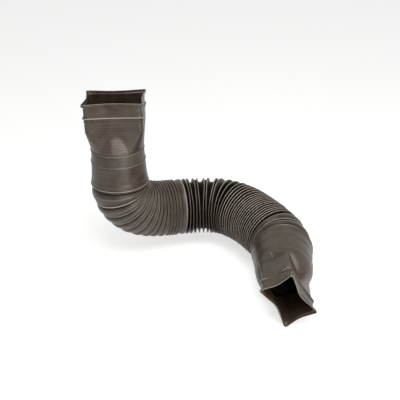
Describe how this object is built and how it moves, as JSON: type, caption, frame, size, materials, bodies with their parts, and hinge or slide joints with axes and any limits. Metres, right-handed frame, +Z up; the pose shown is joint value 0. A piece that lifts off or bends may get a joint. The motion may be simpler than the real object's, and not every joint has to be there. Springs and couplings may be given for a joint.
{
  "type": "flexible downspout extension",
  "caption": "Flexible downspout extension: a rectangular socket for a gutter pipe, a folded hose bent down and forward, and a smaller rectangular outlet.",
  "frame": {"origin": "centre of the inlet mouth, in the plane of its lip", "axes": "+Z up out of the inlet along its pipe, +X along the mouth's long side towards the outlet, +Y towards the house wall, so the outlet opens towards -Y"},
  "size_m": [0.3913, 0.3762, 0.308],
  "materials": {
    "brown_plastic": "satin dark brown moulded plastic"
  },
  "bodies": {
    "root": {"downspout_extension": "brown_plastic"}
  },
  "joints": []
}
